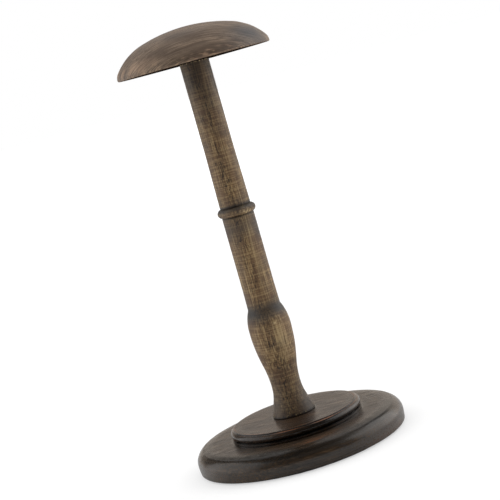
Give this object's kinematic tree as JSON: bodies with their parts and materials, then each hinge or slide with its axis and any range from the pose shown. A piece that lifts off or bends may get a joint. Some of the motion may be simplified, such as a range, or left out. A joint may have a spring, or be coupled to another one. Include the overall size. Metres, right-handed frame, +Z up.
{
  "type": "hat stand",
  "caption": "Turned wooden table-top hat stand with a stepped round base, a turned column with a bead, and a domed head.",
  "frame": {"origin": "centre of the flat underside, on the surface that the stand rests on", "axes": "+Z up along the turned column's axis; +X to the right and +Y away from a viewer in front"},
  "size_m": [0.168, 0.168, 0.34],
  "materials": {
    "stained_wood_plinth": "dark stained, satin, worn at the edges",
    "stained_wood_step": "dark stained, satin, worn at the moulding",
    "stained_wood_column": "brown stained, dull satin",
    "stained_wood_head": "dark stained, dull satin",
    "beech_dowel": "bare",
    "zinc_plated_steel": "zinc plated",
    "felt": "pressed felt"
  },
  "bodies": {
    "root": {"felt_pad": "felt", "base_plinth": "stained_wood_plinth", "base_step": "stained_wood_step", "base_washer": "zinc_plated_steel", "base_screw": "zinc_plated_steel", "column": "stained_wood_column", "head_dowel": "beech_dowel", "head": "stained_wood_head"}
  },
  "joints": []
}
